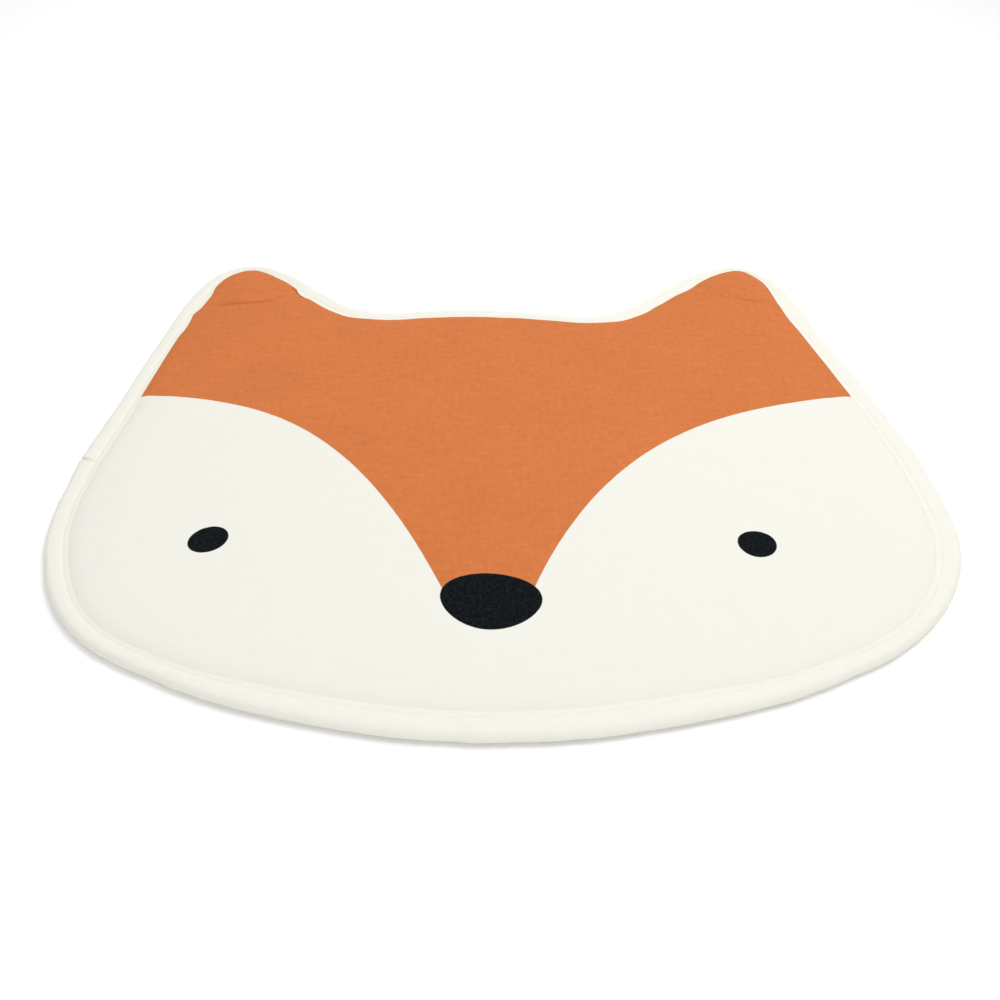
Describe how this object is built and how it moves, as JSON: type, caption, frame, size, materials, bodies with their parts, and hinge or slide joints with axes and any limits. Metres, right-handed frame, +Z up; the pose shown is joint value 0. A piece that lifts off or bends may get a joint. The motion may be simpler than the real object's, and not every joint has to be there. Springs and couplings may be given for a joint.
{
  "type": "animal shaped kids rug",
  "caption": "Flat padded floor rug in the outline of a fox's head, with a printed canvas face and a folded cloth binding round its whole edge.",
  "frame": {"origin": "on the floor under the middle of the rug's bounding box", "axes": "+Z up, +Y from the chin towards the ears, +X towards the ear on the right as the face is seen upright from above"},
  "size_m": [0.9497, 0.898, 0.0223],
  "materials": {
    "printed_canvas": "matt cotton canvas, printed orange over a cream ground with a black nose and eyes",
    "cotton_strip": "matt cream cotton"
  },
  "bodies": {
    "root": {"padded_face": "printed_canvas", "edge_binding": "cotton_strip"}
  },
  "joints": []
}
